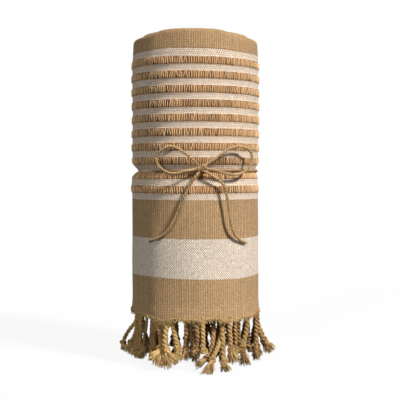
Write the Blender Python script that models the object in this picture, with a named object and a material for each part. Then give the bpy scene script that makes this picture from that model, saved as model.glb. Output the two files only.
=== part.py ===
"""A hammam towel folded in eight, rolled up, tied with a jute bow and standing on its knotted fringe.

Metres, +Z up. The roll's axis is Z, the bow faces -Y and the floor is z = 0.
"""

import math
import random

import bmesh
import bpy
from mathutils import Vector

# The flat towel and how it is folded: TOWEL_WIDTH is wound into the spiral.
TOWEL_WIDTH = 1.0
LAYERS = 8
LAYER_PITCH = 0.000875
PACKET = LAYERS * LAYER_PITCH
TURN_GAP = 0.0006
HALF_WALL = (PACKET - TURN_GAP) / 2

# The roll
CORE_RADIUS = 0.0077
END_ANGLE = math.radians(80)
HEM_Z = 0.0372
TOP_Z = 0.2455
TURNS = (math.sqrt(CORE_RADIUS**2 + PACKET * TOWEL_WIDTH / math.pi) - CORE_RADIUS) / PACKET
AXIS = Vector((-PACKET / 4, 0.0004, 0.0))
FINE_COLUMNS = 60
WRAP_FRONT_DROP = 0.0006
WRAP_SIDE_DROP = 0.0036
TOP_DRAWN_IN = 0.0013
TOP_DRAW_START = 0.2190
# Below the folded top edge: (how far below it, share of the wall's half thickness).
RIM_PROFILE = ((0.0032, 1.0), (0.0010, 0.72), (0.0, 0.22))
# Above the hem's lower edge: (how far above it, share of the wall's half thickness).
HEM_PROFILE = ((0.0, 0.8), (0.0016, 1.0))
END_TAPER_LENGTH = 0.012
END_TAPER_DEPTH = 0.0026

# The raised brown stripes, counted down from the top one
STRIPE_COUNT = 10
TOP_STRIPE_Z = 0.2218
STRIPE_PITCH = 0.01031
STRIPE_CREST = 0.0022
STRIPE_RAISE = 0.0007
PLAIN_BANDS_Z = (0.0657, 0.0940, 0.1195)

# The tie
TWINE = 0.0021
TIE_Z = 0.1435
WAIST_DEPTH = 0.0024
WAIST_LEFT_EXTRA = 0.0006
WAIST_REACH = 0.0052
CLEARANCE = 0.0003
BAND_LIFT = 0.62 * TWINE + CLEARANCE
KNOT_X = 0.0049
KNOT_Z = 0.1446
KNOT_STAND_OFF = 0.0032
KNOT_HALF = Vector((0.0037, 0.0025, 0.0032))
ROUTE_STEP = 0.0048
BAND_STEP = 0.0064

# Where the twine leaves the knot, as degrees round it from the right, and its way in millimetres:
# across, height and how far its middle stands off the roll.
TIE_ROUTES = {
    "twine_loop_left": {
        "leaves": 146,
        "returns": 196,
        "way": (
            (-3.6, 152.6, 5.2),
            (-8.6, 156.2, 5.4),
            (-13.0, 158.8, 5.4),
            (-17.8, 159.8, 5.4),
            (-22.4, 158.0, 5.6),
            (-26.0, 154.6, 6.0),
            (-27.4, 150.4, 6.2),
            (-26.0, 146.2, 6.0),
            (-22.2, 142.8, 5.6),
            (-17.0, 140.8, 5.2),
            (-11.6, 141.0, 5.0),
            (-5.8, 142.5, 5.0),
        ),
    },
    "twine_loop_right": {
        "leaves": 36,
        "returns": -8,
        "way": (
            (12.3, 149.4, 5.2),
            (16.0, 152.2, 5.8),
            (20.0, 155.3, 6.4),
            (25.4, 158.7, 7.2),
            (31.2, 160.2, 8.2),
            (36.4, 159.5, 9.2),
            (40.2, 156.8, 10.4),
            (41.6, 152.4, 11.0),
            (40.6, 147.6, 10.4),
            (37.4, 143.2, 9.2),
            (32.4, 140.6, 7.8),
            (26.4, 140.0, 6.6),
            (20.0, 141.4, 5.8),
            (14.4, 143.0, 5.2),
        ),
    },
    "twine_tail_left": {
        "leaves": 240,
        "returns": None,
        "way": (
            (0.6, 138.4, 4.6),
            (-3.4, 132.6, 5.6),
            (-7.0, 125.5, 6.0),
            (-10.9, 116.7, 6.0),
            (-14.8, 107.6, 5.4),
            (-17.6, 102.4, 4.6),
            (-21.0, 98.2, 3.4),
            (-26.0, 94.6, 2.2),
            (-31.6, 92.2, 1.6),
        ),
    },
    "twine_tail_right": {
        "leaves": -52,
        "returns": None,
        "way": (
            (11.8, 139.4, 4.4),
            (17.2, 136.0, 5.4),
            (21.2, 131.2, 6.2),
            (23.0, 124.1, 6.6),
            (24.4, 116.0, 6.8),
            (25.4, 108.0, 6.4),
            (27.0, 100.6, 5.2),
            (30.6, 94.4, 3.0),
            (36.0, 90.6, 1.6),
        ),
    },
}

# The fringe
RIM_STRANDS = 46
STRIP_HEIGHT = 0.0024
STRIP_HALF = 0.0015
STRIP_INSET = 0.0024
STRIP_START_TURN = 0.75
STRAND_HALF = 0.0018
ROOT_HALF = 0.0020
KNOT_SWELL = 0.0027
TUFT_SWELL = 0.0026
ROOT_NECK = 0.0035
KNOT_TOP = 0.0036
KNOT_CROWN = 0.0008
KNOT_FOOT = 0.0026
STRIP_CELL_TURN = 1 / 26
STRAND_SEED = 11
# Strands of the inner turns: how many turns in from the loose end each one hangs.
INNER_STRANDS = (1.66, 1.80, 1.92, 2.17, 2.36, 2.56, 3.12, 3.40, 3.72, 4.10, 4.45, 4.78)
# Strands of the rim that stand out in a special way: millimetres out, millimetres sideways
# (anticlockwise), height of the knot, and how early the strand bends (1 is even).
SPLAYED = {
    1: (19.3, 0.5, 9.0, 1.5),
    10: (15.0, -0.5, 10.5, 0.8),
    11: (9.0, 1.0, 8.0, 1.0),
    13: (6.0, -2.0, 8.5, 1.2),
    16: (4.5, -2.0, 8.0, 1.2),
    20: (-3.0, 0.0, 9.5, 1.4),
    21: (-6.0, 2.4, 9.0, 1.0),
    24: (-9.0, 1.0, 9.0, 1.3),
    25: (17.5, 0.5, 9.5, 1.9),
    27: (3.0, -1.0, 8.5, 1.6),
    30: (4.5, 0.5, 8.0, 1.6),
    35: (6.0, 0.5, 8.0, 1.2),
    37: (12.5, -0.5, 11.0, 0.9),
}


def material(name, colour, roughness):
    made = bpy.data.materials.new(name)
    made.use_nodes = True
    shader = made.node_tree.nodes["Principled BSDF"]
    shader.inputs["Base Color"].default_value = (*colour, 1.0)
    shader.inputs["Roughness"].default_value = roughness
    shader.inputs["Metallic"].default_value = 0.0
    return made


def new_object(name, data, finish):
    made = bpy.data.objects.new(name, data)
    data.materials.append(finish)
    bpy.context.scene.collection.objects.link(made)
    return made


def mesh_object(name, bm, finish):
    bmesh.ops.recalc_face_normals(bm, faces=bm.faces)
    data = bpy.data.meshes.new(name)
    bm.to_mesh(data)
    bm.free()
    made = new_object(name, data, finish)
    data.shade_smooth()
    data.set_sharp_from_angle(angle=math.radians(40))
    return made


# ---- The spiral -------------------------------------------------------------------------------


def angle_at(turn):
    return END_ANGLE - 2 * math.pi * (TURNS - turn)


def last_turn_at(angle):
    """The turn of the outermost winding at an angle."""
    back = (END_ANGLE - angle) / (2 * math.pi) % 1.0
    return TURNS - back


def uneven(angle):
    return 0.0004 * math.sin(2 * angle + 0.6) + 0.0003 * math.sin(3 * angle + 2.0)


def middle_radius(turn):
    return CORE_RADIUS + PACKET * turn + uneven(angle_at(turn))


def end_taper(turn):
    """How much thinner the packet is near its loose end, where the selvedges lie stepped."""
    to_end = 2 * math.pi * middle_radius(turn) * (TURNS - turn)
    share = max(0.0, 1.0 - to_end / END_TAPER_LENGTH)
    return END_TAPER_DEPTH * share**1.5


def outer_face(turn):
    return middle_radius(turn) + HALF_WALL - end_taper(turn)


def waist(angle, z):
    depth = WAIST_DEPTH - WAIST_LEFT_EXTRA * math.cos(angle)
    return depth * math.exp(-((abs(z - TIE_Z) / WAIST_REACH) ** 1.4))


def stripe_raise(z):
    nearest = round((TOP_STRIPE_Z - z) / STRIPE_PITCH)
    centre = TOP_STRIPE_Z - min(max(nearest, 0), STRIPE_COUNT - 1) * STRIPE_PITCH
    return STRIPE_RAISE if abs(z - centre) < 1.2 * STRIPE_CREST else 0.0


def place(turn, radius, z):
    angle = angle_at(turn)
    return AXIS + Vector((radius * math.cos(angle), radius * math.sin(angle), z))


def smooth_step(value, start, end):
    share = min(max((value - start) / (end - start), 0.0), 1.0)
    return share * share * (3 - 2 * share)


def rim_top(turn):
    """The folded top edge: the outer wrap dips at the sides, where the next winding peeps over it."""
    inwards = TURNS - turn
    inner = TOP_Z - 0.0009 * max(0.0, inwards - 2.0) - 0.0004 * (1 - math.cos(2.3 * inwards))
    front = smooth_step(-math.sin(angle_at(turn)), 0.65, 0.95)
    wrap = TOP_Z - WRAP_FRONT_DROP - WRAP_SIDE_DROP * (1 - front)
    return wrap + (inner - wrap) * smooth_step(inwards, 0.92, 1.10)


def top_drawn_in(z):
    """How far the outer face leans in towards its folded top edge."""
    return TOP_DRAWN_IN * max(0.0, (z - TOP_DRAW_START) / (TOP_Z - TOP_DRAW_START)) ** 1.5


def skin_rows(turn):
    """(height, share of the wall's thickness) up an outer face that shows."""
    rows = hem_rows() + [(z, 1.0) for z in PLAIN_BANDS_Z]
    trough = STRIPE_PITCH / 2
    for number in reversed(range(STRIPE_COUNT)):
        centre = TOP_STRIPE_Z - number * STRIPE_PITCH
        below = centre - trough
        rows.append((TIE_Z if abs(below - TIE_Z) < trough / 2 else below, 1.0))
        rows += [(centre - STRIPE_CREST, 1.0), (centre + STRIPE_CREST, 1.0)]
    rows += [(TOP_STRIPE_Z + trough, 1.0), (TOP_STRIPE_Z + 2.4 * trough, 1.0)]
    return rows + top_rows(turn)


def hidden_rows(turn):
    return hem_rows() + top_rows(turn)


def hem_rows():
    return [(HEM_Z + above, share) for above, share in HEM_PROFILE]


def top_rows(turn):
    return [(rim_top(turn) - below, share) for below, share in RIM_PROFILE]


def outer_chain(bm, turn, shows):
    chain = []
    angle = angle_at(turn)
    for z, share in skin_rows(turn) if shows else hidden_rows(turn):
        radius = middle_radius(turn) + HALF_WALL * share
        if shows:
            radius += stripe_raise(z) - waist(angle, z) - top_drawn_in(z) - end_taper(turn) * share
        chain.append(bm.verts.new(place(turn, radius, z)))
    return chain


def inner_chain(bm, turn):
    middle = middle_radius(turn)
    return [
        bm.verts.new(place(turn, middle - HALF_WALL * share, z)) for z, share in hidden_rows(turn)
    ]


def zip_chains(bm, left, right):
    """Faces between two upright rows of points, which may differ in number."""
    if len(left) == len(right):
        for low in range(len(left) - 1):
            bm.faces.new((left[low], right[low], right[low + 1], left[low + 1]))
        return
    i, j = 0, 0
    while i < len(left) - 1 or j < len(right) - 1:
        up_left = j == len(right) - 1 or (
            i < len(left) - 1 and left[i + 1].co.z <= right[j + 1].co.z
        )
        if up_left:
            bm.faces.new((left[i], right[j], left[i + 1]))
            i += 1
        else:
            bm.faces.new((left[i], right[j], right[j + 1]))
            j += 1


def column_turns():
    """Where the columns of points stand along the spiral: closer where it shows."""
    last_start = TURNS - 1.0 - 0.012
    turns, turn = [], 0.0
    while turn < last_start - 0.01:
        turns.append((turn, False))
        turn += 1 / 24 if middle_radius(turn) < 0.026 else 1 / 36
    turns.append((last_start - 0.008, False))
    steps = FINE_COLUMNS
    turns += [(last_start + (TURNS - last_start) * i / steps, True) for i in range(steps + 1)]
    return turns


def build_roll(finish):
    bm = bmesh.new()
    columns = []
    for turn, shows in column_turns():
        columns.append((outer_chain(bm, turn, shows), inner_chain(bm, turn)))
    for (outer_a, inner_a), (outer_b, inner_b) in zip(columns, columns[1:]):
        zip_chains(bm, outer_a, outer_b)
        zip_chains(bm, inner_a, inner_b)
        for edge in (0, -1):
            bm.faces.new((outer_a[edge], outer_b[edge], inner_b[edge], inner_a[edge]))
    for outer, inner in (columns[0], columns[-1]):
        zip_chains(bm, outer, inner)
    return mesh_object("towel_roll", bm, finish)


# ---- The fringe -------------------------------------------------------------------------------


def strand_plan():
    """Each strand of the fringe: its turn, lean out and sideways, knot height and bend."""
    chance = random.Random(STRAND_SEED)
    plan = []
    for number in range(RIM_STRANDS):
        turn = TURNS - 1.0 + (number + 0.5) / RIM_STRANDS
        out = chance.uniform(0.5, 5.0) if number % 2 == 0 else -chance.uniform(4.0, 9.0)
        side = chance.uniform(-1.6, 1.6)
        knot = chance.uniform(6.5, 9.5)
        bend = chance.uniform(0.9, 1.6)
        out, side, knot, bend = SPLAYED.get(number, (out, side, knot, bend))
        plan.append((turn, out, side, knot, bend))
    for inwards in INNER_STRANDS:
        lean = chance.uniform(-2.0, 2.0)
        plan.append((TURNS - inwards, lean, chance.uniform(-1.5, 1.5), 7.5, 1.2))
    return sorted(plan)


def strip_middle(turn):
    return middle_radius(turn) + HALF_WALL - STRIP_INSET


def strip_ring(bm, turn):
    """The four corners of the strip: inner low, outer low, outer high, inner high."""
    middle = strip_middle(turn)
    top = HEM_Z - CLEARANCE
    bottom = top - STRIP_HEIGHT
    corners = ((-1, bottom), (1, bottom), (1, top), (-1, top))
    return [bm.verts.new(place(turn, middle + sign * STRIP_HALF, z)) for sign, z in corners]


def strand_spot(strand, z):
    """(middle, outward direction, sideways direction) of a strand at a height."""
    turn, out, side, _, bend = strand
    angle = angle_at(turn)
    outward = Vector((math.cos(angle), math.sin(angle), 0.0))
    sideways = Vector((-math.sin(angle), math.cos(angle), 0.0))
    root_z = HEM_Z - CLEARANCE - STRIP_HEIGHT
    lean = ((root_z - z) / root_z) ** bend / 1000
    spot = place(turn, strip_middle(turn), z) + (outward * out + sideways * side) * lean
    return spot, outward, sideways


def add_strand(bm, root, strand):
    """Grows a strand down from four corners of the strip to the floor."""
    knot_z = strand[3] / 1000
    root_z = root[0].co.z
    middle_z = (root_z + knot_z + ROOT_NECK / 2) / 2
    rows = (
        (root_z - ROOT_NECK, STRAND_HALF),
        (middle_z, STRAND_HALF),
        (knot_z + KNOT_TOP, STRAND_HALF),
        (knot_z + KNOT_CROWN, KNOT_SWELL),
        (knot_z - KNOT_FOOT, STRAND_HALF),
        (0.0, TUFT_SWELL),
    )
    above = root
    for z, half in rows:
        spot, outward, sideways = strand_spot(strand, z)
        corners = ((-1, -1), (1, -1), (1, 1), (-1, 1))
        below = [
            bm.verts.new(spot + outward * half * o + sideways * half * s) for o, s in corners
        ]
        for i in range(4):
            j = (i + 1) % 4
            bm.faces.new((above[i], above[j], below[j], below[i]))
        above = below
    bm.faces.new(above)


def strip_stops(plan):
    """Turns at which the strip has a ring, each with the strand that hangs from there on."""
    stops, turn = [], STRIP_START_TURN
    for strand in plan:
        half = ROOT_HALF / (2 * math.pi * strip_middle(strand[0]))
        while strand[0] - half - turn > 1.2 * STRIP_CELL_TURN:
            stops.append((turn, None))
            turn += STRIP_CELL_TURN
        stops += [(turn, None), (strand[0] - half, strand)]
        turn = strand[0] + half
    return stops + [(turn, None), (TURNS - 0.003, None)]


def build_fringe(finish):
    bm = bmesh.new()
    stops = strip_stops(strand_plan())
    rings = [strip_ring(bm, turn) for turn, _ in stops]
    for (_, strand), here, there in zip(stops, rings, rings[1:]):
        for i in (1, 2, 3):
            j = (i + 1) % 4
            bm.faces.new((here[i], here[j], there[j], there[i]))
        root = (here[0], here[1], there[1], there[0])
        if strand is None:
            bm.faces.new(root)
        else:
            add_strand(bm, root, strand)
    bm.faces.new(rings[0])
    bm.faces.new(rings[-1])
    return mesh_object("fringe", bm, finish)


# ---- The tie ----------------------------------------------------------------------------------


def waist_radius(angle):
    return outer_face(last_turn_at(angle)) - waist(angle, TIE_Z)


def off_the_roll(x, z, stand_off):
    """A point at that place in front of the roll, off its unpinched face."""
    angle = -math.pi / 2
    for _ in range(8):
        radius = outer_face(last_turn_at(angle)) + stand_off
        angle = -math.acos(max(-1.0, min(1.0, (x - AXIS.x) / radius)))
    return Vector((x, AXIS.y + radius * math.sin(angle), z))


def knot_centre():
    return off_the_roll(KNOT_X, KNOT_Z, KNOT_STAND_OFF - WAIST_DEPTH / 2)


def beside_knot(degrees, reach):
    """A point beside the knot, that far off its surface, in the plane of the bow."""
    turned = math.radians(degrees)
    direction = Vector((math.cos(turned), -0.18, math.sin(turned))).normalized()
    scale = math.sqrt(sum((d / h) ** 2 for d, h in zip(direction, KNOT_HALF)))
    return knot_centre() + direction * (1 / scale + reach)


def smooth_route(points, step):
    """Points about a step apart on a smooth curve through the route's own points."""
    ends = [points[0] * 2 - points[1]] + list(points) + [points[-1] * 2 - points[-2]]
    fine = []
    for a, b, c, d in zip(ends, ends[1:], ends[2:], ends[3:]):
        for i in range(16):
            t = i / 16
            fine.append(
                0.5
                * (
                    2 * b
                    + (c - a) * t
                    + (2 * a - 5 * b + 4 * c - d) * t**2
                    + (3 * b - a - 3 * c + d) * t**3
                )
            )
    fine.append(points[-1])
    along = [0.0]
    for a, b in zip(fine, fine[1:]):
        along.append(along[-1] + (b - a).length)
    count = max(2, round(along[-1] / step))
    route, at = [], 0
    for i in range(count + 1):
        want = along[-1] * i / count
        while at < len(along) - 2 and along[at + 1] < want:
            at += 1
        share = (want - along[at]) / (along[at + 1] - along[at])
        route.append(fine[at].lerp(fine[at + 1], share))
    return route


def tie_route(plan):
    way = [off_the_roll(x / 1000, z / 1000, off / 1000) for x, z, off in plan["way"]]
    off_knot = CLEARANCE + 0.0005
    points = [beside_knot(plan["leaves"], off_knot)] + way
    if plan["returns"] is not None:
        points.append(beside_knot(plan["returns"], off_knot))
    return smooth_route(points, ROUTE_STEP)


def tube(name, points, finish):
    curve = bpy.data.curves.new(name, "CURVE")
    curve.dimensions = "3D"
    curve.bevel_depth = TWINE / 2
    curve.bevel_resolution = 2
    curve.use_fill_caps = True
    spline = curve.splines.new("POLY")
    spline.points.add(len(points) - 1)
    for target, point in zip(spline.points, points):
        target.co = (*point, 1.0)
    return new_object(name, curve, finish)


def convex_outline(points):
    """The corners of the tight loop round flat points, anticlockwise."""
    ordered = sorted(points)
    halves = []
    for run in (ordered, ordered[::-1]):
        half = []
        for p in run:
            while len(half) > 1 and (
                (half[-1][0] - half[-2][0]) * (p[1] - half[-2][1])
                <= (half[-1][1] - half[-2][1]) * (p[0] - half[-2][0])
            ):
                half.pop()
            half.append(p)
        halves += half[:-1]
    return halves


def band_route():
    """The twine round the waist, from side to side of the knot, pulled straight over steps."""
    outline = []
    for i in range(90):
        angle = 2 * math.pi * i / 90
        radius = waist_radius(angle) + BAND_LIFT
        outline.append((AXIS.x + radius * math.cos(angle), AXIS.y + radius * math.sin(angle)))
    edge = last_turn_at(END_ANGLE - 0.001)
    corner = waist_radius(angle_at(edge)) + BAND_LIFT
    outline.append(
        (AXIS.x + corner * math.cos(END_ANGLE), AXIS.y + corner * math.sin(END_ANGLE))
    )
    loop = convex_outline(outline)
    gap = KNOT_HALF.x + CLEARANCE + 0.0004
    knot = knot_centre()
    kept = [p for p in loop if p[1] > 0 or abs(p[0] - knot.x) > gap + 0.0015]
    kept.sort(key=lambda p: (math.atan2(p[1], p[0] - knot.x) + math.pi / 2) % (2 * math.pi))
    start = waist_front(knot.x + gap)
    finish = waist_front(knot.x - gap)
    way = [start] + [Vector((x, y, TIE_Z)) for x, y in kept] + [finish]
    return smooth_route(way, BAND_STEP)


def waist_front(x):
    angle = -math.pi / 2
    for _ in range(8):
        radius = waist_radius(angle) + BAND_LIFT
        angle = -math.acos((x - AXIS.x) / radius)
    return Vector((x, AXIS.y + radius * math.sin(angle), TIE_Z))


def build_knot(finish):
    """A small lump with the twine's wraps as slanting ridges."""
    bm = bmesh.new()
    bmesh.ops.create_uvsphere(bm, u_segments=14, v_segments=8, radius=1.0)
    for v in bm.verts:
        turned = math.atan2(v.co.y, v.co.x)
        ridge = 0.94 + 0.06 * math.cos(3 * turned + 2.5 * v.co.z)
        v.co = Vector(c * h for c, h in zip(v.co * ridge, KNOT_HALF)) + knot_centre()
    return mesh_object("twine_knot", bm, finish)


def main():
    for old in list(bpy.data.objects):
        bpy.data.objects.remove(old)
    cloth = material("beige_cloth", (0.50, 0.33, 0.17), 0.92)
    cord = material("beige_cord", (0.46, 0.31, 0.16), 0.95)
    jute = material("jute", (0.42, 0.27, 0.12), 0.90)
    build_roll(cloth)
    build_fringe(cord)
    tube("twine_band", band_route(), jute)
    build_knot(jute)
    for name, plan in TIE_ROUTES.items():
        tube(name, tie_route(plan), jute)


main()
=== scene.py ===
"""The looks of a rolled hammam towel: the real folded and rolled cloth, its corded fringe and the jute bow.

Metres, +Z up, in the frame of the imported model. The front, with the bow, faces -Y.
"""

import math
import random

import bpy
import numpy as np
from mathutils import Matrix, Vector

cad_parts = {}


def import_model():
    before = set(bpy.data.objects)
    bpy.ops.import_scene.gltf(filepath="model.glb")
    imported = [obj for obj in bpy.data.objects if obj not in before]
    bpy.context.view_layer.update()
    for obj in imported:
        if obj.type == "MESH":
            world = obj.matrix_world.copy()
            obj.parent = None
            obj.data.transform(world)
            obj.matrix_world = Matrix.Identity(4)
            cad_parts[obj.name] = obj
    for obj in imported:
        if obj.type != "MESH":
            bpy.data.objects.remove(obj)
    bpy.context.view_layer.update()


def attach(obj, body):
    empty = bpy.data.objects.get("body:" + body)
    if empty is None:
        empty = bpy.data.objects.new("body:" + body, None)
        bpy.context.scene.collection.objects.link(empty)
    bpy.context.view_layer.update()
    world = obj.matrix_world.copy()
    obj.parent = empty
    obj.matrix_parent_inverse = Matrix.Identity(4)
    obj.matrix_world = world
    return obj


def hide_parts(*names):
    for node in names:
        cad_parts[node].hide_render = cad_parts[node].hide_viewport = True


MM = 0.001
TURN = 2 * math.pi
SEEDS = {"hem": 9, "fuzz": 31, "floats": 5, "bow": 21, "band": 22, "knot": 23}

# ---- The photograph's view: the camera is level, 0.68 m from the roll's axis ----
CAMERA_AT = Vector((0.0037, -0.680, 0.141))
LENS_MM = 80.0
SHIFT_DOWN = 0.0675

# ---- Light ----
# For each lamp: power, degrees of softness, degrees to the right of the front, degrees up, colour.
LAMPS = {
    "key": (4.25, 9, 52, 42, (1.0, 0.985, 0.965)),
    "side_fill": (0.89, 15, -30, 20, (0.97, 0.99, 1.0)),
}
# The surround's light in front and behind, and where along Y it grows from one to the other.
FILL_FRONT = 0.02
FILL_BACK = 0.50
FILL_GROWS = (0.15, 0.90)
# How much the floor shows, how far from its middle it does so, and where it has faded out.
FLOOR_SHARE = 0.08
FLOOR_SOLID = 0.30
FLOOR_END = 1.0
FLOOR_HALF = 6.0

# ---- The flat towel and how it is folded and wound ----
TOWEL_WIDTH = 1.0
TOWEL_LENGTH = 1.68
LAYERS = 8
PACKET = 0.007
HALF_WALL = 0.0032
CORE_RADIUS = 0.0077
END_ANGLE = math.radians(80)
TURNS = (math.sqrt(CORE_RADIUS**2 + PACKET * TOWEL_WIDTH / math.pi) - CORE_RADIUS) / PACKET
AXIS = np.array((-PACKET / 4, 0.0004, 0.0))
HEM_Z = 0.0372
TOP_Z = 0.2455
SKIN = 0.00315
LAYER_GAP = 2 * SKIN / (LAYERS - 1)
WRAP_FRONT_DROP = 0.0006
WRAP_SIDE_DROP = 0.0036
TOP_DRAWN_IN = 0.0013
TOP_DRAW_START = 0.2190
FOLD_RISE = 0.0032
HEM_FOLD_DROP = 0.00264
SELVEDGE_STAGGER = 0.0098
END_TAPER_LENGTH = 0.012
END_TAPER_DEPTH = 0.0026
# The order in which the cloth runs through the layers of the packet, outermost 0, going up first.
LAYER_ORDER = (0, 7, 4, 3, 2, 5, 6, 1)

# ---- How finely the cloth is divided ----
LAYER_ROWS = (0, 0.012, 0.05, 0.18, 0.34, 0.5, 0.66, 0.82, 0.95, 0.988, 1)
TIE_ROWS = (-14, -9, -6.5, -4.5, -3, -1.5, 0, 1.5, 3, 4.5, 6.5, 9, 14)
FOLD_ANGLES = np.linspace(0, math.pi, 9)[1:-1]
WRAP_FOLD_ANGLES = np.linspace(0, math.pi, 13)[1:, None]
# Columns of the core, of the turns round it and of the last turn, and where the core ends.
INNER_COLUMNS = (80, 150, 110)
CORE_TURNS = 2.2
WRAP_COLUMNS = 372
# Distances between the rows of the outer wrap below, in and above its striped part.
WRAP_STEPS = (0.0014, 0.00082, 0.0012)
WRAP_OVERLAP = 0.035
# The first rows of the outer wrap, a lip under the hem: how far up and how far in.
WRAP_LIP = np.array(((0.0012, 0.0009), (0.0001, 0.0006)))
# The last rows of the outer wrap, behind the fold: how far down.
WRAP_TAIL = np.array(((0.002,), (0.005,), (0.009,)))
SELVEDGE_ROWS = 130
SELVEDGE_SIDES = 6
EDGE_HALF = 0.00042
FLOAT_ROWS = 9
FLOAT_COLUMNS = 5
FUZZ_FIBRES = 1500

# ---- Stripes, as heights in the roll; every one runs across the cloth ----
STRIPE_COUNT = 10
TOP_STRIPE_Z = 0.2218
STRIPE_PITCH = 0.01031
STRIPE_HEIGHT = 0.0060
STRIPE_RAISE = 0.0005
STRIPED_Z = (0.1212, 0.2296)
WHITE_BAND_Z = (0.0655, 0.0938)
WARP_PITCH = 0.000865
WEFT_PITCH = 0.00088
FLOAT_PITCH = 2 * WARP_PITCH
FLOAT_PROUD = 0.00046
# The ribs run over this many turns, counted from the loose end.
FLOAT_SPAN = (-1.03, 0.012)

# ---- The tie ----
TWINE_LAY = 0.0052
TWINE_STEP = 0.00045
TWINE_PLY_OFF = 0.00054
TWINE_PLY_RADIUS = 0.00060
TWINE_SIDES = 7
HAIR_LENGTH = 0.0016
FRAY_YARNS = 26
TIE_Z = 0.1435
WAIST_DEPTH = 0.0024
WAIST_REACH = 0.0052
PINCH_DEPTH = 0.0036
PINCH_LEFT_EXTRA = 0.0011
PINCH_Z = 0.1426
BAND_LIFT = 0.0010
BAND_POINTS = 90
BAND_INSET = 0.0012
KNOT_X = 0.0049
KNOT_Z = 0.1446
KNOT_STAND_OFF = 0.0032
KNOT_HALF = Vector((0.0037, 0.0025, 0.0032))
KNOT_TUCK = 0.0008
# Each stretch of the bow: degrees round the knot where it leaves and returns, and points along it as
# millimetres along X, height and distance off the roll.
TIE_ROUTES = {
    "twine_loop_left": (146, 196, (
        (-3.6, 152.6, 5.2), (-8.6, 156.2, 5.4), (-13, 158.8, 5.4), (-17.8, 159.8, 5.4), (-22.4, 158, 5.6),
        (-26, 154.6, 6), (-27.4, 150.4, 6.2), (-26, 146.2, 6), (-22.2, 142.8, 5.6), (-17, 140.8, 5.2),
        (-11.6, 141, 5), (-5.8, 142.5, 5))),
    "twine_loop_right": (36, -8, (
        (12.3, 149.4, 4.6), (16, 152.2, 4.8), (20, 155.3, 5), (25.4, 158.7, 5.4), (31.2, 160.2, 5.8),
        (36.4, 159.5, 6.2), (40.2, 156.8, 6.6), (41.6, 152.4, 6.8), (40.6, 147.6, 6.4),
        (37.4, 143.2, 5.8), (32.4, 140.6, 5.2), (26.4, 140, 4.8), (20, 141.4, 4.6), (14.4, 143, 4.4))),
    "twine_tail_left": (240, None, (
        (0.6, 138.4, 3.6), (-3.4, 132.6, 3), (-7, 125.5, 2.7), (-10.9, 116.7, 2.2), (-14.8, 107.6, 2),
        (-17.6, 102.4, 1.9), (-21, 98.2, 1.8), (-26, 94.6, 1.7), (-31.6, 92.2, 1.6))),
    "twine_tail_right": (-52, None, (
        (11.8, 139.4, 4), (17.2, 136, 4.4), (21.2, 131.2, 4.8), (23, 124.1, 5), (24.4, 116, 5),
        (25.4, 108, 4.8), (27, 100.6, 4), (30.6, 94.4, 2.6), (36, 90.6, 1.5))),
}

# ---- The fringe ----
RIM_STRANDS = 46
RIM_RADIUS = 0.045
# Cords hang at the rim if their tops are this far from the axis, for the hem's edge and for the roots.
RIM_FROM = 0.036
ROOTS_RIM_FROM = 0.038
STRIP_INSET = 0.0024
ROOT_Z = HEM_Z - 0.0027
STRAND_SEED = 11
# Strands of the inner turns: how many turns in from the loose end each one hangs.
INNER_STRANDS = (1.66, 1.80, 1.92, 2.17, 2.36, 2.56, 3.12, 3.40, 3.72, 4.10, 4.45, 4.78)
# Strands of the sides and back that stand out: millimetres out and sideways, height of the knot, bend.
SPLAYED = {
    1: (19.3, 0.5, 9, 1.5), 37: (12.5, -0.5, 11, 0.9),
}
CORD_WIDTH = 3.5
CORD_LAY = 0.0056
CORD_STEP = 0.0006
CORD_SIDES = 8
KNOT_SIDES = 6
# As shares of a cord's half width: how far its plies lie off its middle and their radius, the same
# for the plies of its knot, and the size of the knot.
CORD_PLY_OFF = 0.45
CORD_PLY_RADIUS = 0.585
KNOT_PLY_OFF = 0.22
KNOT_PLY_RADIUS = 0.33
KNOT_SIZE = 0.42
KNOT_LAY = 0.0045
ROOT_YARNS = 11
TUFT_YARNS = 92
# How much lighter the loose ends are on the axis, and, as painted light, how much lighter still they are
# for each metre to the left of it (and darker to the right), where the lamps from the right leave the fringe
# in shade.
TUFT_LIGHTER = 0.03
TUFT_PAINTED_LIGHT_LEFT = 5.0
# Strands behind are moved this many millimetres along X, so that the gaps of the real fringe stay open.
ASIDE = {
    2: 2.6, 3: -2, 4: 4.6, 5: -2.4, 8: -5, 9: -2, 38: -2, 39: 1.2, 40: -2.8, 42: -1.8, 43: 2.6, 44: -0.6,
    45: -2.2, 46: 5, 48: -2.2, 49: 3, 51: 3.4, 52: -1.2, 55: -4, 57: 0.9,
}
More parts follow.
